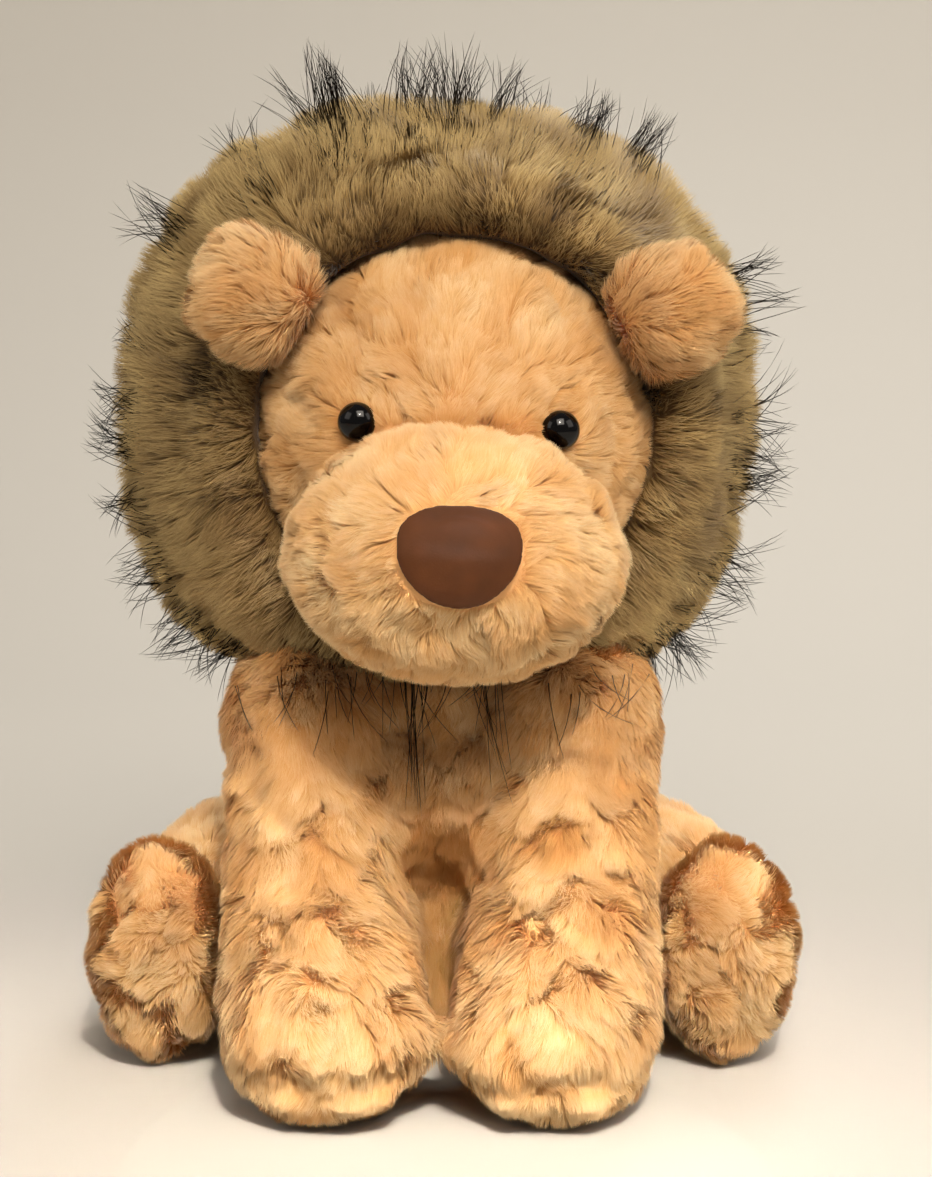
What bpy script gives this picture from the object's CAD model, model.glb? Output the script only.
"""A seated plush lion: cloth forms, their pile grown strand by strand, and a small studio."""

import math

import bmesh
import bpy
import numpy as np
from mathutils import Matrix, Vector, bvhtree, kdtree


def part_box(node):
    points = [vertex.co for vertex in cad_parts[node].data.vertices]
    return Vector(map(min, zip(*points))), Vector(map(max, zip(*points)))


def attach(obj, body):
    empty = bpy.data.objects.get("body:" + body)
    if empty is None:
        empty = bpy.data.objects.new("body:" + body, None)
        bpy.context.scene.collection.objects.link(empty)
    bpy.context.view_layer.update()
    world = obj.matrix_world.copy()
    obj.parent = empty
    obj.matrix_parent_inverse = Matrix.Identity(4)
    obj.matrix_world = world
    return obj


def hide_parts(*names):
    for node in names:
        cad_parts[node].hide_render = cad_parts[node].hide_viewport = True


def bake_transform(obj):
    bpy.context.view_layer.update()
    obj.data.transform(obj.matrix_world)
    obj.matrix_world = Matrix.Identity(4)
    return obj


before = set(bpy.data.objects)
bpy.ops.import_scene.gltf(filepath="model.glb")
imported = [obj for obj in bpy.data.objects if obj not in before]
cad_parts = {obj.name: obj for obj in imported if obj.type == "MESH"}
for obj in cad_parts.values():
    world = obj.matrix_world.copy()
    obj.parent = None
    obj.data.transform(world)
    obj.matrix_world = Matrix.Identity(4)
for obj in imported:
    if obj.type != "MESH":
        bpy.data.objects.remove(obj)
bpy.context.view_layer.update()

# Torso
# A pear of apricot long-pile plush, sewn from panels, turned and filled with polyester
# fibre over a bag of pellets. The seams vanish in the pile. The form here is the knitted
# backing with its short underfur, and the long fibres are grown on it.

MM = 0.001
PILE = 3.8 * MM  # height of the apricot pile above its backing
MOST_TRIANGLES = 190000  # in one piece of pile
forms = {}  # the outside of each piece, over its pile
rooms = {}  # the height of the pile at each vertex of a piece's backing


def linear(hex_colour):
    """An sRGB hex colour as linear red, green, blue and alpha."""
    parts = [int(hex_colour[i : i + 2], 16) / 255 for i in (1, 3, 5)]
    return [c / 12.92 if c <= 0.04045 else ((c + 0.055) / 1.055) ** 2.4 for c in parts] + [1.0]


def add(tree, kind, settings=(), **sockets):
    """A shader node: its settings, then each input as a value or as the socket that feeds it."""
    made = tree.nodes.new("ShaderNode" + kind)
    for name, value in dict(settings).items():
        setattr(made, name, value)
    for name, value in sockets.items():
        socket = made.inputs[int(name[1:])] if name[1:].isdigit() else made.inputs[name.replace("_", " ")]
        if isinstance(value, bpy.types.NodeSocket):
            tree.links.new(value, socket)
        else:
            socket.default_value = value
    return made


def material(name):
    made = bpy.data.materials.new(name)
    made.use_nodes = True
    made.node_tree.nodes.clear()
    return made, made.node_tree


def ramp(tree, fac, stops):
    """A colour ramp through (place, hex colour) stops."""
    made = add(tree, "ValToRGB", _0=fac)
    elements = made.color_ramp.elements
    while len(elements) < len(stops):
        elements.new(0.5)
    for element, (place, colour) in zip(elements, stops):
        element.position = place
        element.color = linear(colour)
    return made.outputs[0]


def finish_surface(tree, **sockets):
    surface = add(tree, "BsdfPrincipled", **sockets)
    add(tree, "OutputMaterial", _0=surface.outputs[0])
    return surface


def pile_material(name, dark, light, roughness, sheen):
    """Fibres coloured from root to tip, between a dark and a light strand by their tone."""
    made, tree = material(name)
    uv = add(tree, "UVMap", {"uv_map": "strand"})
    split = add(tree, "SeparateXYZ", _0=uv.outputs[0])
    tone, along = split.outputs[0], split.outputs[1]
    mixed = add(
        tree,
        "MixRGB",
        _0=tone,
        _1=ramp(tree, along, dark),
        _2=ramp(tree, along, light),
    )
    finish_surface(
        tree,
        Base_Color=mixed.outputs[0],
        Roughness=roughness,
        Specular_IOR_Level=0.2,
        Sheen_Weight=sheen,
        Sheen_Roughness=0.5,
    )
    return made


def backing_material(name, low, high):
    """Knitted backing with short dense underfur, mottled where the pile parts."""
    made, tree = material(name)
    place = add(tree, "TexCoord")
    patches = add(tree, "TexNoise", Vector=place.outputs["Object"], Scale=70.0, Detail=3.0)
    fuzz = add(tree, "TexNoise", Vector=place.outputs["Object"], Scale=900.0, Detail=2.0)
    colour = ramp(tree, patches.outputs[0], ((0.3, low), (0.7, high)))
    bump = add(tree, "Bump", Height=fuzz.outputs[0], Strength=0.6, Distance=0.0006)
    finish_surface(
        tree,
        Base_Color=colour,
        Normal=bump.outputs[0],
        Roughness=0.95,
        Specular_IOR_Level=0.1,
        Sheen_Weight=0.2,
    )
    return made


apricot_backing = backing_material("knitted_apricot_backing", "#DB9C5E", "#E9B277")
apricot_pile = pile_material(
    "apricot_polyester_pile",
    dark=((0.0, "#D28F4C"), (0.5, "#DB9E58"), (1.0, "#E4AF6C")),
    light=((0.0, "#E4AC68"), (0.5, "#F0C688"), (1.0, "#F8DEAE")),
    roughness=0.65,
    sheen=0.12,
)


def joined(name, meshes):
    """One mesh object from several meshes."""
    together = bmesh.new()
    for mesh in meshes:
        together.from_mesh(mesh)
    data = bpy.data.meshes.new(name)
    together.to_mesh(data)
    together.free()
    piece = bpy.data.objects.new(name, data)
    bpy.context.scene.collection.objects.link(piece)
    return piece


def coordinates(mesh):
    flat = np.empty(len(mesh.vertices) * 3)
    mesh.vertices.foreach_get("co", flat)
    return flat.reshape(-1, 3)


def normals(mesh):
    flat = np.empty(len(mesh.vertices) * 3)
    mesh.vertices.foreach_get("normal", flat)
    return flat.reshape(-1, 3)


def corner_table(mesh):
    mesh.calc_loop_triangles()
    corners = np.empty(len(mesh.loop_triangles) * 3, dtype=np.int32)
    mesh.loop_triangles.foreach_get("vertices", corners)
    return corners.reshape(-1, 3)


def unit(vectors):
    return vectors / np.maximum(np.linalg.norm(vectors, axis=1, keepdims=True), 1e-9)


def waves(points, wavelength, seed, count=24):
    """Smooth random values with a spread of about one, at points in space."""
    draw = np.random.default_rng(seed)
    directions = unit(draw.normal(size=(count, 3)))
    pitch = wavelength * draw.uniform(0.7, 1.5, count)
    start = draw.uniform(0, 2 * np.pi, count)
    angle = points @ (directions * (2 * np.pi / pitch)[:, None]).T + start
    return np.cos(angle).sum(axis=1) * np.sqrt(2 / count)


def tree_of(mesh):
    return bvhtree.BVHTree.FromPolygons(coordinates(mesh).tolist(), corner_table(mesh).tolist())


def backing(
    name, nodes, room=PILE, lumps=0.5 * MM, voxel=2.0 * MM, smoothing=8, seed=1, sculpt=None, swells=()
):
    """A closed cloth form in place of these CAD solids, pulled in to leave room for the pile."""
    piece = joined(name, [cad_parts[node].data for node in nodes])
    swell = bmesh.new()
    swell.from_mesh(piece.data)
    for centre, radii in swells:
        place = Matrix.Translation(centre) @ Matrix.Diagonal((*radii, 1.0))
        bmesh.ops.create_icosphere(swell, subdivisions=3, radius=1.0, matrix=place)
    swell.to_mesh(piece.data)
    swell.free()
    remesh = piece.modifiers.new("remesh", "REMESH")
    remesh.mode = "VOXEL"
    remesh.voxel_size = voxel
    graph = bpy.context.evaluated_depsgraph_get()
    data = bpy.data.meshes.new_from_object(piece.evaluated_get(graph))
    piece.modifiers.clear()
    piece.data = data
    ends = np.empty(len(data.edges) * 2, dtype=np.int32)
    data.edges.foreach_get("vertices", ends)
    ends = ends.reshape(-1, 2)
    place = coordinates(data)
    valence = np.bincount(ends.ravel(), minlength=len(place))[:, None]

    def relax(values, times):
        for _ in range(times):
            total = np.zeros_like(values)
            np.add.at(total, ends[:, 0], values[ends[:, 1]])
            np.add.at(total, ends[:, 1], values[ends[:, 0]])
            values = values * 0.4 + total / valence * 0.6
        return values

    def move_to(place):
        data.vertices.foreach_set("co", place.ravel())
        data.update()

    place = relax(place, smoothing)
    if sculpt is not None:
        place = sculpt(place)
    move_to(place)
    form = tree_of(data)
    facing = normals(data)
    thickness = np.full(len(place), 0.2)
    for i, (spot, way) in enumerate(zip(place, facing)):
        hit = form.ray_cast(Vector(spot - way * 0.05 * MM), Vector(-way))
        if hit[0] is not None:
            thickness[i] = hit[3]
    wanted = room(place) if callable(room) else np.full(len(place), room)
    room_here = relax(np.minimum(wanted, 0.36 * thickness)[:, None], 6)
    place = relax(place - facing * room_here, 3)
    move_to(place)
    move_to(place + normals(data) * (waves(place, 14 * MM, seed) * lumps)[:, None])
    data.shade_smooth()
    forms[name] = form
    rooms[name] = room_here[:, 0]
    return piece


def depth_in(points, tree, reach=0.03):
    """How deep each point lies inside a closed form, below zero outside it."""
    depth = np.full(len(points), -reach)
    for i, point in enumerate(points):
        spot = Vector(point)
        place, normal, face, distance = tree.find_nearest(spot, reach)
        if place is not None:
            depth[i] = distance if (spot - place).dot(normal) < 0 else -distance
    return depth


def grow_pile(
    name,
    base,
    comb,
    seed,
    surface,
    slot,
    body=None,
    per_mm2=7.0,
    width=0.23 * MM,
    lean=(46, 76),
    swirl=0.28,
    swirl_size=15 * MM,
    clump=4.0 * MM,
    pull=0.28,
    tuft=10.0 * MM,
    tuft_pull=0.16,
    keep=None,
    under=(),
    sunk=1.5 * MM,
    steps=(0.0, 0.5, 1.0),
    tone=0.5,
    beyond=1.5 * MM,
    stretch=1.0,
    straighten=None,
):
    """Strands of pile on a base, as thin tapered ribbons.

    Each leans from the normal towards the way it is combed, and is drawn towards the tips of
    the nearest clump and tuft. Roots that lie sunk under another piece are left out.
    """
    draw = np.random.default_rng(seed)
    mesh = base.data
    corners = corner_table(mesh)
    place, facing = coordinates(mesh), normals(mesh)
    a, b, c = (place[corners[:, i]] for i in range(3))
    area = np.linalg.norm(np.cross(b - a, c - a), axis=1) / 2
    count = int(area.sum() / MM**2 * per_mm2)
    chosen = np.searchsorted(np.cumsum(area) / area.sum(), draw.random(count))
    chosen = corners[np.minimum(chosen, len(corners) - 1)]
    u, v = draw.random(count), draw.random(count)
    over = u + v > 1
    u[over], v[over] = 1 - u[over], 1 - v[over]
    weights = np.stack([1 - u - v, u, v], axis=1)
    roots = (place[chosen] * weights[:, :, None]).sum(axis=1)
    up = unit((facing[chosen] * weights[:, :, None]).sum(axis=1))
    room = (rooms[base.name][chosen] * weights).sum(axis=1)
    room = room * (stretch(roots) if callable(stretch) else stretch)
    stays = np.ones(count, dtype=bool)
    if keep is not None:
        stays &= keep(roots, up)
    for other in under:
        depth = depth_in((roots + up * (room + 1.2 * MM)[:, None])[stays], forms[other])
        stays[stays] = depth < (sunk(roots[stays]) if callable(sunk) else sunk)
    roots, up, room = roots[stays], up[stays], room[stays]
    count = len(roots)
    way = unit(comb(roots, up))
    turbulence = np.stack([waves(roots, swirl_size, seed + k) for k in (11, 12, 13)], axis=1)
    way = way + swirl * turbulence + draw.normal(scale=0.12, size=(count, 3))
    flat = way - (way * up).sum(axis=1, keepdims=True) * up
    strength = np.clip(np.linalg.norm(flat, axis=1), 0.0, 1.0)
    if straighten is not None:
        strength = strength * straighten(roots)
    flat = unit(flat)
    start, end = (math.radians(angle) * strength for angle in lean)
    rise = room * np.clip(
        1 + 0.12 * waves(roots, 9 * MM, seed + 21) + draw.normal(scale=0.1, size=count), 0.4, 1.4
    )
    shares = np.diff(steps)
    middles = (np.array(steps[:-1]) + np.array(steps[1:])) / 2
    angles = [start + (end - start) * middle for middle in middles]
    straight = sum(share * np.cos(angle) for share, angle in zip(shares, angles))
    length = rise / np.maximum(straight, 0.2)
    curl = draw.normal(scale=0.3, size=count)
    sideways = np.cross(up, flat)
    headings = []
    for middle, angle in zip(middles, angles):
        bend = curl * middle
        along = flat * np.cos(bend)[:, None] + sideways * np.sin(bend)[:, None]
        headings.append(up * np.cos(angle)[:, None] + along * np.sin(angle)[:, None])
    travel = sum(heading * share for heading, share in zip(headings, shares))
    long = np.arange(count)
    for _ in range(3):
        out = -depth_in(roots[long] + travel[long] * length[long, None], forms[base.name])
        long, out = long[out > beyond], out[out > beyond]
        length[long] *= np.clip(1 - (out - beyond) / length[long], 0.55, 1)
    points = [roots]
    for heading, share in zip(headings, shares):
        points.append(points[-1] + heading * (length * share)[:, None])
    headings.append(headings[-1])

    def groups(size):
        number = max(int(count / per_mm2 / (size / MM) ** 2), 8)
        centres = draw.choice(count, min(number, count), replace=False)
        finder = kdtree.KDTree(len(centres))
        for i, index in enumerate(centres):
            finder.insert(Vector(roots[index]), i)
        finder.balance()
        found = [finder.find(Vector(root)) for root in roots]
        return centres, np.array([f[1] for f in found]), np.array([f[2] for f in found])

    centres, nearest, reach = groups(clump)
    tufts, belongs, tuft_reach = groups(tuft)
    grip = pull * draw.uniform(0.5, 1.2, count)
    hold = tuft_pull * draw.uniform(0.6, 1.2, count)
    for k, step in enumerate(steps):
        near = points[k][centres][nearest]
        far = points[k][tufts][belongs]
        points[k] = (
            points[k]
            + (near - points[k]) * (grip * step**1.3)[:, None]
            + (far - points[k]) * (hold * step**1.5)[:, None]
        )
    roll = draw.normal(scale=0.5, size=count)
    girth = width * draw.uniform(0.75, 1.25, count)
    ribs = len(steps) - 1
    vertices = np.empty((count, 2 * ribs + 1, 3))
    shading = np.empty_like(vertices)
    for k in range(ribs):
        side = unit(np.cross(headings[k], up))
        other = np.cross(side, headings[k])
        side = side * np.cos(roll)[:, None] - other * np.sin(roll)[:, None]
        half = side * (girth * (1 - 0.5 * steps[k] ** 2) / 2)[:, None]
        vertices[:, 2 * k] = points[k] - half
        vertices[:, 2 * k + 1] = points[k] + half
        normal = unit(0.7 * up + 0.35 * unit(np.cross(side, headings[k])) + np.array([0.0, 0.0, 0.15]))
        shading[:, 2 * k] = shading[:, 2 * k + 1] = normal
    vertices[:, -1] = points[-1]
    shading[:, -1] = shading[:, -2]
    shade = tone(roots) if callable(tone) else tone
    shade = shade + 0.10 * draw.normal(size=len(centres))[nearest] + 0.14 * waves(roots, 18 * MM, seed + 31)
    shade = np.clip(shade + draw.normal(scale=0.12, size=count) - 0.18 * (tuft_reach / tuft - 0.4), 0.02, 0.98)
    vertices[:, :, 2] = np.maximum(vertices[:, :, 2], 0.1 * MM)
    number = math.ceil(count * (2 * ribs - 1) / MOST_TRIANGLES)
    pieces = []
    for k, row in enumerate(np.array_split(np.argsort(roots[:, 2]), number)):
        piece = ribbons(f"{name}_{k + 1}", vertices[row], shading[row], shade[row], steps)
        pieces.append(dress(piece, surface, body))
    return pieces


def ribbons(name, vertices, shading, tone, steps):
    """A mesh of tapered ribbons with their tone and their length as texture coordinates."""
    count, per = vertices.shape[:2]
    ribs = (per - 1) // 2
    quads = [(2 * k, 2 * k + 1, 2 * k + 3, 2 * k + 2) for k in range(ribs - 1)]
    pattern = np.array([corner for quad in quads for corner in quad] + [per - 3, per - 2, per - 1])
    loops = (np.arange(count)[:, None] * per + pattern[None, :]).ravel()
    starts = np.array([4 * k for k in range(ribs)])
    first = (np.arange(count)[:, None] * len(pattern) + starts[None, :]).ravel()
    data = bpy.data.meshes.new(name)
    data.vertices.add(count * per)
    data.vertices.foreach_set("co", vertices.ravel())
    data.loops.add(len(loops))
    data.loops.foreach_set("vertex_index", loops.astype(np.int32))
    data.polygons.add(len(first))
    data.polygons.foreach_set("loop_start", first.astype(np.int32))
    across = np.array([-0.004, 0.004] * ribs + [0.0])
    along = np.array([step for step in steps[:-1] for _ in (0, 1)] + [1.0])
    u = (tone[:, None] + across[None, :])[:, pattern]
    v = np.broadcast_to(np.clip(along, 0.005, 0.995)[None, :], (count, per))[:, pattern]
    data.update(calc_edges=True)
    flat = np.stack([u, v], axis=2).ravel()
    strand = data.uv_layers.new(name="strand")
    strand.data.foreach_set("uv", flat)
    baked = data.uv_layers.new(name="OFBake")
    baked.data.foreach_set("uv", flat)
    data.uv_layers.active = strand
    strand.active_render = True
    data.shade_smooth()
    data.normals_split_custom_set_from_vertices(shading.reshape(-1, 3))
    piece = bpy.data.objects.new(name, data)
    bpy.context.scene.collection.objects.link(piece)
    return piece


def dress(piece, surface, body=None):
    """Gives a piece its material and slot, and the body that it rides on."""
    piece.data.materials.clear()
    piece.data.materials.append(surface)
    if body:
        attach(piece, body)
    return piece


def downwards(points, up):
    return np.broadcast_to(np.array([0.0, 0.0, -1.0]), points.shape).copy()


torso_nodes = ["torso_skin", "torso_stuffing", "pellet_bag"]
# Cloth gathered where the neck meets the legs
shoulders = [((0.0365 * sign, -0.006, 0.100), (0.0275, 0.034, 0.033)) for sign in (-1, 1)]


def with_hollow(place):
    """The belly drawn back between the forelegs."""
    near = np.exp(-((place[:, 0] / (16 * MM)) ** 2)) * np.clip((0.080 - place[:, 2]) / 0.025, 0, 1)
    behind_the_paws = np.clip((place[:, 1] + 0.052) / 0.012, 0, 1)
    place[:, 1] += 28 * MM * near * behind_the_paws * np.clip((0.002 - place[:, 1]) / 0.036, 0, 1)
    return place


def body_tone(points):
    """Paler towards the feet, where the pile is fluffed, and deeper in the hollow of the belly."""
    hollow = np.exp(-((points[:, 0] / (14 * MM)) ** 2)) * np.clip((0.085 - points[:, 2]) / 0.02, 0, 1)
    low = np.clip((0.080 - points[:, 2]) / 0.055, 0, 1)
    return 0.38 + 0.42 * low - 0.7 * hollow * (points[:, 1] > -0.055)


torso = backing("torso_backing", torso_nodes, seed=3, smoothing=12, swells=shoulders, sculpt=with_hollow)
dress(torso, apricot_backing, "torso")
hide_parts(*torso_nodes)

# Hind legs
# Fuller plush legs, folded along the flanks, with round soles that face forward.



def lowered_thigh(place):
    """The thigh slopes down from the flank to the back of the foot."""
    outer = np.clip((np.abs(place[:, 0]) - 0.060) / 0.03, 0, 1) * np.clip((place[:, 1] + 0.002) / 0.02, 0, 1)
    place[:, 2] *= 1 - 0.16 * outer
    return place


for side, seed in (("left", 300), ("right", 330)):
    body = side + "_hind_leg"
    sole = ((0.0815 if side == "left" else -0.0815, -0.009, 0.0345), (0.0225, 0.017, 0.0345))
    leg = backing(
        body + "_backing",
        [body + "_skin", body + "_stuffing"],
        seed=seed,
        swells=[sole],
        sculpt=lowered_thigh,
    )
    dress(leg, apricot_backing, body)
    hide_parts(body + "_skin", body + "_stuffing")
    middle = coordinates(leg.data).mean(axis=0)

    def away_from_middle(points, up, middle=middle):
        return points - middle + np.array([0.0, 0.014, -0.004])

    grow_pile(
        body + "_pile",
        leg,
        away_from_middle,
        seed,
        apricot_pile,
        "apricot_plush",
        body,
        under=("torso_backing",),
        tone=0.75,
    )

# Forelegs
# Plush tubes with broad paws, each closed by a sole panel. They are sewn to the chest at the
# shoulder and the pile runs on over the seam, so chest and leg read as one. A line of
# stitches through the paw pulls in the crease over the toes.

TOE_CREASE_HEIGHT = 17.0 * MM
TOE_CREASE_DEPTH = 2.6 * MM


def with_toe_crease(place):
    """The hollow of the belly, and a shallow valley across the front of each paw."""
    place = with_hollow(place)
    near = np.exp(-(((place[:, 2] - TOE_CREASE_HEIGHT) / (3.4 * MM)) ** 2))
    front = np.clip((-0.058 - place[:, 1]) / 0.012, 0, 1)
    place[:, 1] += TOE_CREASE_DEPTH * near * front
    return place


def leg_comb(points, up):
    """Down the leg, and a little forward over the paw."""
    way = np.zeros_like(points)
    way[:, 2] = -1.0
    way[:, 1] = -0.3 * np.clip((0.055 - points[:, 2]) / 0.03, 0, 1)
    return way


def leg_tone(points):
    """As on the body, with a deeper line along the toe crease."""
    line = np.exp(-(((points[:, 2] - TOE_CREASE_HEIGHT) / (1.6 * MM)) ** 2)) * (points[:, 1] < -0.066)
    return body_tone(points) - 0.25 * line


leg_nodes = [side + "_foreleg_" + part for side in ("left", "right") for part in ("skin", "stuffing")]
front = backing(
    "front_backing",
    torso_nodes + leg_nodes,
    seed=3,
    smoothing=14,
    sculpt=with_toe_crease,
    swells=[
        *shoulders,
        ((0.0285, -0.057, 0.0240), (0.0282, 0.026, 0.0240)),
        ((-0.0305, -0.057, 0.0240), (0.0300, 0.026, 0.0240)),
    ],
)


def cut_out(name, planes):
    """The part of the joined front behind these planes, closed again where they cut it."""
    work = bmesh.new()
    work.from_mesh(front.data)
    for point, normal in planes:
        everything = work.verts[:] + work.edges[:] + work.faces[:]
        cut = bmesh.ops.bisect_plane(
            work, geom=everything, plane_co=point, plane_no=normal, clear_outer=True
        )
        rim = [e for e in cut["geom_cut"] if isinstance(e, bmesh.types.BMEdge)]
        bmesh.ops.holes_fill(work, edges=rim)
    bmesh.ops.triangulate(work, faces=[face for face in work.faces if len(face.verts) > 4])
    data = bpy.data.meshes.new(name)
    work.to_mesh(data)
    work.free()
    data.shade_smooth()
    piece = bpy.data.objects.new(name, data)
    bpy.context.scene.collection.objects.link(piece)
    forms[name] = forms["front_backing"]
    rooms[name] = np.full(len(data.vertices), PILE)
    return piece


for side, sign, seed in (("left", 1, 200), ("right", -1, 230)):
    body = side + "_foreleg"
    planes = (
        ((0.0002 * sign, 0, 0), (-sign, 0, 0)),
        ((0, 0.001, 0), (0, 1, 0)),
        ((0, 0, 0.113), (0, 0.5, 1)),
    )
    leg = cut_out(body + "_backing", planes)

    def off_the_cuts(points, up, sign=sign):
        on_the_cut = (np.abs(points[:, 0]) < 0.0011) & (up[:, 0] * sign < -0.6) & (points[:, 1] > -0.045)
        return ~on_the_cut & (points[:, 1] < 0.0006) & (points[:, 2] + 0.5 * points[:, 1] < 0.1127)

    dress(leg, apricot_backing)
    pile = grow_pile(body + "_pile", leg, leg_comb, seed, apricot_pile, "apricot_plush", keep=off_the_cuts, tone=leg_tone)
    for part in (leg, *pile):
        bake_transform(part)
    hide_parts(body + "_skin", body + "_stuffing")
bpy.data.objects.remove(front)

grow_pile(
    "torso_pile",
    torso,
    downwards,
    105,
    apricot_pile,
    "apricot_plush",
    "torso",
    under=("left_hind_leg_backing", "right_hind_leg_backing"),
    tone=body_tone,
)

# Head
# A ball of the same plush. Its pile is brushed up and outward from the bridge of the nose.

bridge = np.array([0.003, -0.062, 0.182])
nose_low, nose_high = (np.array(corner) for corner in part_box("nose_patch"))
nose_centre = (nose_low + nose_high) / 2
nose_half = (nose_high - nose_low) / 2
eye_middle = {}
for side in ("left", "right"):
    low, high = (np.array(corner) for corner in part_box(side + "_eye"))
    eye_middle[side] = np.array([(low[0] + high[0]) / 2, low[1], (low[2] + high[2]) / 2])


def from_bridge(points, up):
    return points - bridge


def off_the_eyes(points, up):
    free = np.ones(len(points), dtype=bool)
    for middle in eye_middle.values():
        free &= np.linalg.norm((points - middle)[:, [0, 2]], axis=1) > 4.6 * MM
    return free


def head_room(points):
    """The pile is sheared short under the eyes, where the washers draw the cloth in."""
    gap = np.full(len(points), 99.0)
    for middle in eye_middle.values():
        gap = np.minimum(gap, np.linalg.norm(points - middle, axis=1) / MM)
    by_the_mane = np.clip((points[:, 1] + 0.012) / 0.012, 0, 1)
    return PILE * (0.3 + 0.7 * np.clip((gap - 7.0) / 7.0, 0, 1)) * (1 - 0.45 * by_the_mane)


def from_the_nose(points):
    """Nought in the middle of the nose patch and one at its edge, seen from the front."""
    across = np.abs((points[:, 0] - nose_centre[0]) / nose_half[0]) ** 2.3
    upward = np.abs((points[:, 2] - nose_centre[2]) / nose_half[2]) ** 2.3
    return (across + upward) ** (1 / 2.3)


def muzzle_room(points):
    """No pile under the nose patch, which is sewn down to the backing itself."""
    clear = np.clip((from_the_nose(points) - 1.0) / 0.3, 0, 1)
    return PILE * np.where(points[:, 1] < -0.07, clear, 1.0)


def over_the_edge(points):
    """The pile of face and mane interlocks in front, and is left out where neither is seen."""
    return np.where(points[:, 1] < 0.008, 2.6 * MM, 0.3 * MM)


def head_tone(points):
    """Deeper orange in the crease over the muzzle."""
    crease = np.exp(-(((points[:, 2] - 0.1885) / (3.5 * MM)) ** 2))
    return 0.5 - 0.5 * crease * np.clip((0.026 - np.abs(points[:, 0] - 0.004)) / 0.006, 0, 1)


head = backing("head_backing", ["head_skin", "head_stuffing"], head_room, lumps=0.6 * MM, seed=8)
muzzle = backing("muzzle_backing", ["muzzle_skin", "muzzle_stuffing"], muzzle_room, lumps=0.3 * MM, seed=9)
dress(head, apricot_backing, "head")
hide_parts("head_skin", "head_stuffing")

# Mane
# Long-pile fur in khaki with dark roots, in a ring round the face and a hood behind the
# head. The fibres stand out from the face, and sparse black guard hairs reach past them.

mane_centre = np.array([-0.0015, 0.0, 0.190])


def outwardness(points):
    """Nought at the face and one at the rim and the back of the mane."""
    radius = np.linalg.norm((points - mane_centre)[:, [0, 2]], axis=1)
    return np.maximum(np.clip((radius - 0.058) / 0.032, 0, 1), np.clip((points[:, 1] - 0.02) / 0.02, 0, 1))


def mane_room(points):
    """How far the mane's backing lies under the tips: less by the face and under the chin."""
    thick = 0.35 + 0.65 * np.clip((points[:, 2] - 0.118) / 0.035, 0, 1)
    return (1.4 + 8.6 * np.clip(outwardness(points) / 0.9, 0, 1)) * thick * MM


mane_backing_fur = backing_material("knitted_mane_backing", "#5F4629", "#7E6540")
mane_pile = pile_material(
    "khaki_long_pile",
    dark=((0.0, "#3E2D18"), (0.5, "#6E5431"), (1.0, "#917344")),
    light=((0.0, "#72562F"), (0.45, "#AE8C52"), (1.0, "#DAC086")),
    roughness=0.5,
    sheen=0.1,
)
long_pile = dict(
    per_mm2=3.6,
    width=0.24 * MM,
    lean=(36, 80),
    swirl=0.2,
    swirl_size=34 * MM,
    clump=5.5 * MM,
    pull=0.22,
    tuft=14.0 * MM,
    tuft_pull=0.12,
    steps=(0.0, 0.35, 0.7, 1.0),
)
# The inner edge is drawn in over the seam all round the face, but for the chin
lip = [
    (
        (0.0035 + 0.0632 * math.cos(angle), -0.012, 0.187 + 0.0617 * math.sin(angle)),
        (0.0118, 0.0105, 0.0118),
    )
    for angle in np.radians(np.arange(-48, 229, 6))
]
mane = backing(
    "mane_backing",
    ["mane_ring", "mane_hood"],
    mane_room,
    lumps=0.6 * MM,
    smoothing=34,
    seed=10,
    swells=lip,
)
dress(mane, mane_backing_fur, "head")
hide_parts("mane_ring", "mane_hood")


def mane_comb(points, up):
    """Forward out of the seam by the face, outward to the rim, and down the back."""
    way = points - mane_centre
    way[:, 1] = 0.0
    way = unit(way)
    lip = np.clip(1 - outwardness(points) / 0.35, 0, 1)
    behind = np.clip((points[:, 1] - 0.035) / 0.02, 0, 1)
    way[:, 1] = 0.25 - 1.5 * lip
    way[:, 2] -= 1.2 * behind
    return way


def mane_tone(points):
    high = np.clip((points[:, 2] - 0.15) / 0.12, 0, 1)
    return 0.26 + 0.42 * outwardness(points) + 0.24 * high


def lip_stretch(points):
    """Longer fibres at the inner edge, which close the seam round the face."""
    return 1 + 3.5 * np.clip(1 - outwardness(points) / 0.6, 0, 1)


grow_pile(
    "mane_pile",
    mane,
    mane_comb,
    405,
    mane_pile,
    "khaki_long_pile_fur",
    "head",
    under=("head_backing",),
    sunk=over_the_edge,
    tone=mane_tone,
    beyond=3.0 * MM,
    stretch=lip_stretch,
    **long_pile,
)
grow_pile(
    "head_pile",
    head,
    from_bridge,
    500,
    apricot_pile,
    "apricot_plush",
    "head",
    keep=off_the_eyes,
    under=("mane_backing", "muzzle_backing"),
    sunk=over_the_edge,
    swirl=0.4,
    pull=0.3,
    tuft_pull=0.2,
    tone=head_tone,
)

# Guard hairs
# Coarse near-black hairs in the long-pile fur, longer than the rest. They gather in pointed
# fans that stand past the rim of the mane, and a few hang over the chest.

guard_black, tree = material("black_guard_hair")
uv = add(tree, "UVMap", {"uv_map": "strand"})
along = add(tree, "SeparateXYZ", _0=uv.outputs[0]).outputs[1]
colour = ramp(tree, along, ((0.0, "#6B5230"), (0.3, "#3E2B1C"), (0.6, "#241813"), (1.0, "#1F1511")))
finish_surface(tree, Base_Color=colour, Roughness=0.4, Specular_IOR_Level=0.5)
GUARD_STEPS = (0.0, 0.25, 0.5, 0.7, 0.87, 1.0)
draw = np.random.default_rng(77)


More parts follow.
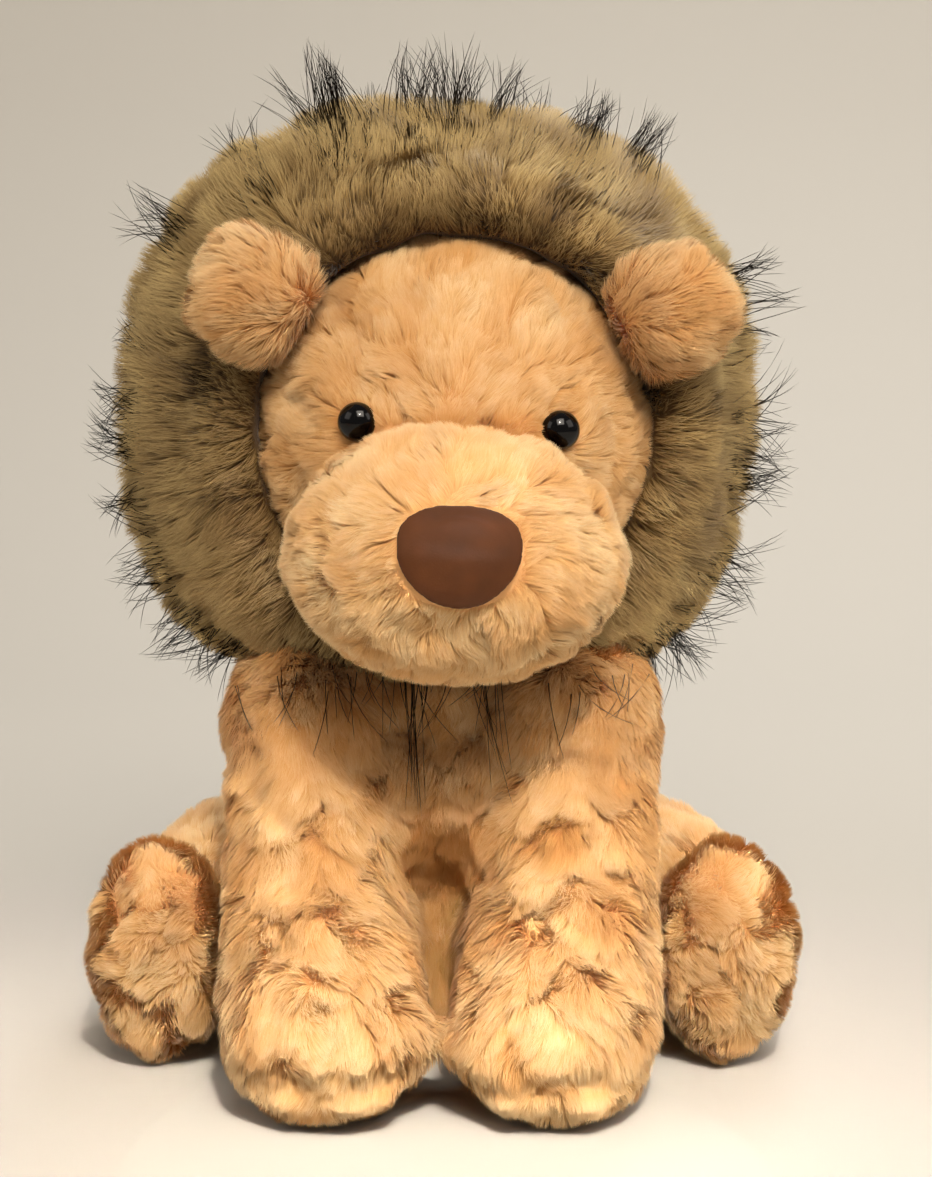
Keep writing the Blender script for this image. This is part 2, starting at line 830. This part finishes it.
def front_of(form, x, z, fallback):
    """How far forward the form reaches at this place, seen from the front."""
    hit = form.ray_cast(Vector((x, -0.3, z)), Vector((0, 1, 0)))
    return hit[0].y if hit[0] is not None else fallback


def hair_mesh(name, paths, width, body):
    """Ribbons along these paths, each a row of points."""
    paths = np.array(paths)
    count, number = paths.shape[:2]
    ribs = number - 1
    vertices = np.empty((count, 2 * ribs + 1, 3))
    shading = np.zeros_like(vertices)
    shading[:, :, 1] = -1.0
    for k in range(ribs):
        heading = unit(paths[:, k + 1] - paths[:, k])
        side = unit(np.cross(heading, np.array([0.0, 1.0, 0.0])) + draw.normal(scale=0.3, size=(count, 3)))
        half = side * (width * (1 - 0.6 * GUARD_STEPS[k])) / 2
        vertices[:, 2 * k] = paths[:, k] - half
        vertices[:, 2 * k + 1] = paths[:, k] + half
    vertices[:, -1] = paths[:, -1]
    tone = draw.uniform(0.1, 0.9, count)
    piece = ribbons(name, vertices, shading, tone, GUARD_STEPS)
    return dress(piece, guard_black, body)


def rim_radius(angle):
    """How far the mane reaches from its middle in this direction, seen from the front."""
    reach = 0.06
    for radius in np.arange(0.06, 0.115, 0.001):
        x = mane_centre[0] + radius * math.cos(angle)
        z = mane_centre[2] + radius * math.sin(angle)
        if forms["mane_backing"].ray_cast(Vector((x, -0.3, z)), Vector((0, 1, 0)))[0] is not None:
            reach = radius
    return reach


def guard_fan(angle, spread, past, hairs, wisps):
    """A fan of wisps round this angle in degrees, reaching this far past the rim."""
    paths = []
    inner = 0.35 if 40 < angle < 135 else 0.7
    for _ in range(wisps):
        spreads = (2.4, 0.9) if draw.random() < 0.5 else (1.4, 2.4)
        middle = angle + draw.uniform(-spread, spread)
        tip_past = past * draw.uniform(0.55, 1.0)
        bend = draw.normal(scale=2.5)
        depth = draw.uniform(-0.004, 0.012)
        rim = rim_radius(math.radians(middle))
        for _ in range(max(int(1.5 * hairs / wisps), 2)):
            root = middle + draw.normal(scale=spreads[0])
            tip = middle + bend + draw.normal(scale=spreads[1])
            start = 0.062 + (rim - 0.062) * draw.uniform(inner, 0.9)
            end = rim + tip_past * draw.uniform(0.6, 1.0)
            path, y = [], -0.02
            for step in GUARD_STEPS:
                turn = math.radians(root + (tip - root) * step**1.4)
                radius = start + (end - start) * step
                x = mane_centre[0] + radius * math.cos(turn)
                z = mane_centre[2] + radius * math.sin(turn)
                y = front_of(forms["mane_backing"], x, z, y + 0.0015)
                path.append((x, y - 0.001 + depth * step**2, z))
            paths.append(path)
    return paths


fans = (
    (127, 3, 12, 14, 3), (111, 3.5, 22, 60, 5), (103, 2, 10, 10, 2), (94, 3, 21, 40, 4), (86, 3, 20, 40, 4),
    (79, 2, 19, 20, 2), (70, 3, 10, 12, 2), (62, 4, 17, 36, 4), (50, 3, 19, 36, 4), (146, 3, 19, 26, 4),
    (165, 6, 7, 10, 4), (178, 4, 11, 18, 3), (188, 5, 14, 34, 5), (198, 3, 12, 20, 3), (210, 4, 15, 26, 4),
    (221, 4, 18, 36, 5), (230, 3, 15, 20, 3), (21, 3, 17, 26, 3), (12, 2, 10, 10, 2), (-4, 3, 16, 24, 3),
    (-15, 4, 16, 34, 4), (-30, 3, 18, 30, 4), (-42, 4, 19, 40, 5), (-52, 3, 14, 20, 3),
)
guard_paths = [
    path
    for angle, spread, past, hairs, wisps in fans
    for path in guard_fan(angle, spread, past * MM, hairs, wisps)
]
hair_mesh("mane_guard_hairs", guard_paths, 0.30 * MM, "head")

chest_paths = []
scattered = [(draw.uniform(-54, 54), draw.uniform(10, 24), 1, 5.0) for _ in range(46)]
for middle, reach, hairs, spread in [(-8, 38, 11, 1.6), (-4, 26, 6, 3.0), (13, 35, 8, 1.8), *scattered]:
    slope = draw.normal(scale=0.22)
    for _ in range(hairs):
        long = reach * draw.uniform(0.6, 1.0)
        high = 0.122 - 0.007 * draw.random()
        x0 = middle + draw.normal(scale=spread)
        x1 = middle + (slope + draw.normal(scale=0.05)) * long
        path, y = [], -0.045
        for step in GUARD_STEPS:
            x = (x0 + (x1 - x0) * step**1.5) * MM
            z = high - long * MM * step
            y = front_of(forms["front_backing"], x, z, y)
            path.append((x, min(y, -0.024) - (1.0 + 2.5 * step * (1 - step)) * MM, z))
        chest_paths.append(path)
hair_mesh("chest_guard_hairs", chest_paths, 0.26 * MM, "head")

# Muzzle
# A wide cushion in a slightly paler cut of the plush, brushed away from the nose.

def from_nose(points, up):
    way = points - nose_centre
    way[:, 1] = np.clip(way[:, 1], 0.0, 0.02)
    return way + np.array([0.0, 0.0, -0.006])


def off_the_nose(points, up):
    return (from_the_nose(points) > 0.97) | (points[:, 1] > -0.07)


pale_backing = backing_material("knitted_pale_backing", "#DDA264", "#EAB67C")
pale_pile = pile_material(
    "pale_apricot_polyester_pile",
    dark=((0.0, "#D2904E"), (0.5, "#DFA662"), (1.0, "#EAB97A")),
    light=((0.0, "#E9B472"), (0.5, "#F3CC90"), (1.0, "#F9E2B4")),
    roughness=0.65,
    sheen=0.12,
)
dress(muzzle, pale_backing, "head")
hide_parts("muzzle_skin", "muzzle_stuffing")
grow_pile(
    "muzzle_pile",
    muzzle,
    from_nose,
    540,
    pale_pile,
    "pale_apricot_plush",
    "head",
    keep=off_the_nose,
    under=("head_backing",),
    swirl=0.4,
    pull=0.3,
    tuft_pull=0.2,
)

# Ears
# Two rounds of plush sewn face to face, lightly filled and folded at the root.

for side, seed in (("left", 600), ("right", 630)):
    ear = backing(side + "_ear_backing", [side + "_ear"], seed=seed)
    dress(ear, pale_backing, side + "_ear")
    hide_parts(side + "_ear")
    middle = coordinates(ear.data).mean(axis=0)

    def from_root(points, up, middle=middle):
        return points - middle * np.array([0.6, 1.0, 0.97])

    def pale_rim(points, middle=middle):
        return 0.1 + 0.028 * np.linalg.norm((points - middle)[:, [0, 2]], axis=1) / MM

    grow_pile(
        side + "_ear_pile",
        ear,
        from_root,
        seed,
        pale_pile,
        "pale_apricot_plush",
        side + "_ear",
        under=("head_backing",),
        sunk=4.5 * MM,
        tone=pale_rim,
        stretch=1.25,
        beyond=2.5 * MM,
    )

# Nose
# A patch of brown suede over a thin wad, hemmed under at its edge and sewn to the muzzle.

suede, tree = material("brown_suede")
place = add(tree, "TexCoord")
nap = add(tree, "TexNoise", Vector=place.outputs["Object"], Scale=1600.0, Detail=4.0)
cloud = add(tree, "TexNoise", Vector=place.outputs["Object"], Scale=120.0, Detail=2.0)
tint = ramp(tree, cloud.outputs[0], ((0.3, "#43220B"), (0.7, "#502A0F")))
bump = add(tree, "Bump", Height=nap.outputs[0], Strength=0.35, Distance=0.0002)
finish_surface(
    tree,
    Base_Color=tint,
    Normal=bump.outputs[0],
    Roughness=0.62,
    Specular_IOR_Level=0.2,
    Sheen_Weight=0.03,
    Sheen_Roughness=0.4,
)


def tapered(place):
    """The patch narrows a little towards the mouth."""
    low = np.clip((nose_centre[2] - place[:, 2]) / nose_half[2], 0, 1)
    place[:, 0] += (nose_centre[0] - place[:, 0]) * 0.16 * low**1.6
    return place


# The wad behind the patch fills it out down to the muzzle
wad = (nose_centre + np.array([0.0, 0.0008, 0.0]), (0.0135, 0.0042, 0.0105))
nose = backing(
    "nose_suede", ["nose_patch"], 0.0, lumps=0.0, voxel=0.5 * MM, smoothing=8, sculpt=tapered, swells=[wad]
)
dress(nose, suede, "head")
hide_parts("nose_patch")

# Eyes
# Safety eyes of black moulded plastic, polished, each on a ribbed post with a washer.

eye_black, tree = material("polished_black_plastic")
finish_surface(tree, Base_Color=linear("#040303"), Roughness=0.1, Specular_IOR_Level=0.3)
washer_white, tree = material("white_moulded_plastic")
finish_surface(tree, Base_Color=linear("#E6E4DE"), Roughness=0.4)


def turned_eye(side):
    """The eye turned on its own axis: a polished dome, a thin flange and a ribbed post."""
    eye = coordinates(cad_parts[side + "_eye"].data)
    washer = coordinates(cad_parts[side + "_eye_washer"].data)
    axis = Vector(eye.mean(axis=0) - washer.mean(axis=0)).normalized()
    heart = Vector(washer.mean(axis=0))
    along = (eye - np.array(heart)) @ np.array(axis)
    radii = np.linalg.norm(eye - np.array(heart) - along[:, None] * np.array(axis), axis=1)
    wide = radii.max()
    rim, top, end = along[radii > 0.98 * wide].max(), along.max(), along.min()
    profile = [(rim + (top - rim) * math.sin(t), wide * math.cos(t)) for t in np.linspace(math.pi / 2, 0, 24)[1:]]
    profile += [(rim - 0.5 * MM, wide * 0.97), (rim - 0.7 * MM, wide * 0.9), (rim - 0.7 * MM, 0.3 * wide)]
    post = rim - 0.7 * MM - end
    for k in range(4):
        profile += [(rim - 0.7 * MM - post * (k + 0.5) / 4, 0.3 * wide), (rim - 0.7 * MM - post * (k + 0.9) / 4, 0.26 * wide)]
    turn = axis.to_track_quat("Z", "Y").to_matrix()
    work = bmesh.new()
    rings = []
    for height, radius in profile:
        rings.append([
            work.verts.new(heart + turn @ Vector((radius * math.cos(a), radius * math.sin(a), height)))
            for a in np.linspace(0, 2 * math.pi, 48, endpoint=False)
        ])
    for near, far in zip(rings, rings[1:]):
        for k in range(48):
            work.faces.new((near[k], near[k - 1], far[k - 1], far[k]))
    for ring, height in ((rings[0], top), (rings[-1], end)):
        tip = work.verts.new(heart + axis * height)
        for k in range(48):
            work.faces.new((ring[k], ring[k - 1], tip))
    bmesh.ops.recalc_face_normals(work, faces=work.faces[:])
    data = bpy.data.meshes.new(side + "_eye_turned")
    work.to_mesh(data)
    work.free()
    data.shade_smooth()
    piece = bpy.data.objects.new(side + "_eye_turned", data)
    bpy.context.scene.collection.objects.link(piece)
    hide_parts(side + "_eye")
    return dress(piece, eye_black, "head")


for side in ("left", "right"):
    turned_eye(side)
    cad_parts[side + "_eye_washer"].data.materials.clear()
    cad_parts[side + "_eye_washer"].data.materials.append(washer_white)

# Tail
# A thin stuffed tube of the plush, with a tuft of the mane's fur on its end.

tail = backing("tail_backing", ["tail"], 2.5 * MM, lumps=0.2 * MM, voxel=1.2 * MM, seed=12)
dress(tail, apricot_backing, "tail")
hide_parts("tail")


def along_tail(points, up):
    way = np.zeros_like(points)
    way[:, 0] = 1.0
    way[:, 1] = np.clip((0.02 - points[:, 0]) / 0.02, 0, 1)
    return way


grow_pile("tail_pile", tail, along_tail, 700, apricot_pile, "apricot_plush", "tail", under=("torso_backing",))
tuft = backing("tail_tuft_backing", ["tail_tuft"], 5.0 * MM, lumps=0.3 * MM, voxel=1.2 * MM, seed=13)
dress(tuft, mane_backing_fur, "tail")
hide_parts("tail_tuft")
grow_pile("tail_tuft_pile", tuft, along_tail, 720, mane_pile, "khaki_long_pile_fur", "tail", **long_pile)

# Studio
# A plain pale table that curves up into a plain backdrop, lit by soft boxes.

paper, tree = material("pale_backdrop_paper")
finish_surface(tree, Base_Color=linear("#C6C2BA"), Roughness=0.9, Specular_IOR_Level=0.1)
sweep = bmesh.new()
profile = [(-1.6, 0.0), (0.55, 0.0)]
profile += [
    (0.55 + 0.35 * math.sin(math.radians(a)), 0.35 - 0.35 * math.cos(math.radians(a)))
    for a in range(10, 91, 10)
]
profile += [(0.9, 2.2)]
rows = [[sweep.verts.new((x, y, z)) for x in (-2.5, 2.5)] for y, z in profile]
for low, high in zip(rows, rows[1:]):
    sweep.faces.new((low[0], low[1], high[1], high[0]))
data = bpy.data.meshes.new("backdrop")
sweep.to_mesh(data)
sweep.free()
data.shade_smooth()
data.materials.append(paper)
backdrop = bpy.data.objects.new("backdrop", data)
bpy.context.scene.collection.objects.link(backdrop)


def soft_box(name, place, target, size, power, colour, spread=180):
    lamp = bpy.data.lights.new(name, "AREA")
    lamp.shape = "RECTANGLE"
    lamp.size, lamp.size_y = size
    lamp.energy = power
    lamp.spread = math.radians(spread)
    lamp.color = linear(colour)[:3]
    box = bpy.data.objects.new(name, lamp)
    box.location = place
    box.rotation_euler = (Vector(target) - Vector(place)).to_track_quat("-Z", "Y").to_euler()
    bpy.context.scene.collection.objects.link(box)


soft_box("key", (0.3, -1.38, 1.74), (0, 0, 0.12), (1.25, 1.25), 35.0, "#FFF4E6")
soft_box("paws", (0.2, -1.55, 1.6), (0, -0.09, -0.03), (0.2, 0.2), 0.4, "#FFF4E6", spread=12)
soft_box("left_fill", (-1.2, -0.6, 0.9), (0, 0, 0.1), (0.8, 0.8), 3.0, "#FFF6EC")
soft_box("right_fill", (1.2, -0.5, 0.9), (0, 0, 0.1), (0.8, 0.8), 4.0, "#FFF6EC")
soft_box("rim", (0.3, 0.7, 0.9), (0, 0, 0.18), (0.6, 0.5), 6.0, "#FFFFFF")
world = bpy.data.worlds.new("room")
bpy.context.scene.world = world
world.use_nodes = True
world.node_tree.nodes["Background"].inputs[0].default_value = linear("#F4F1EC")
world.node_tree.nodes["Background"].inputs[1].default_value = 0.22
bpy.context.scene.view_settings.view_transform = "Standard"

lens = bpy.data.cameras.new("camera")
lens.lens = 85.64
lens.sensor_width = 36.0
camera = bpy.data.objects.new("camera", lens)
camera.location = (0.007, -0.79255, 0.2641)
camera.rotation_euler = (math.radians(81.0), 0.0, 0.0)
lens.clip_start, lens.clip_end = 0.05, 20.0
bpy.context.scene.collection.objects.link(camera)
bpy.context.scene.camera = camera
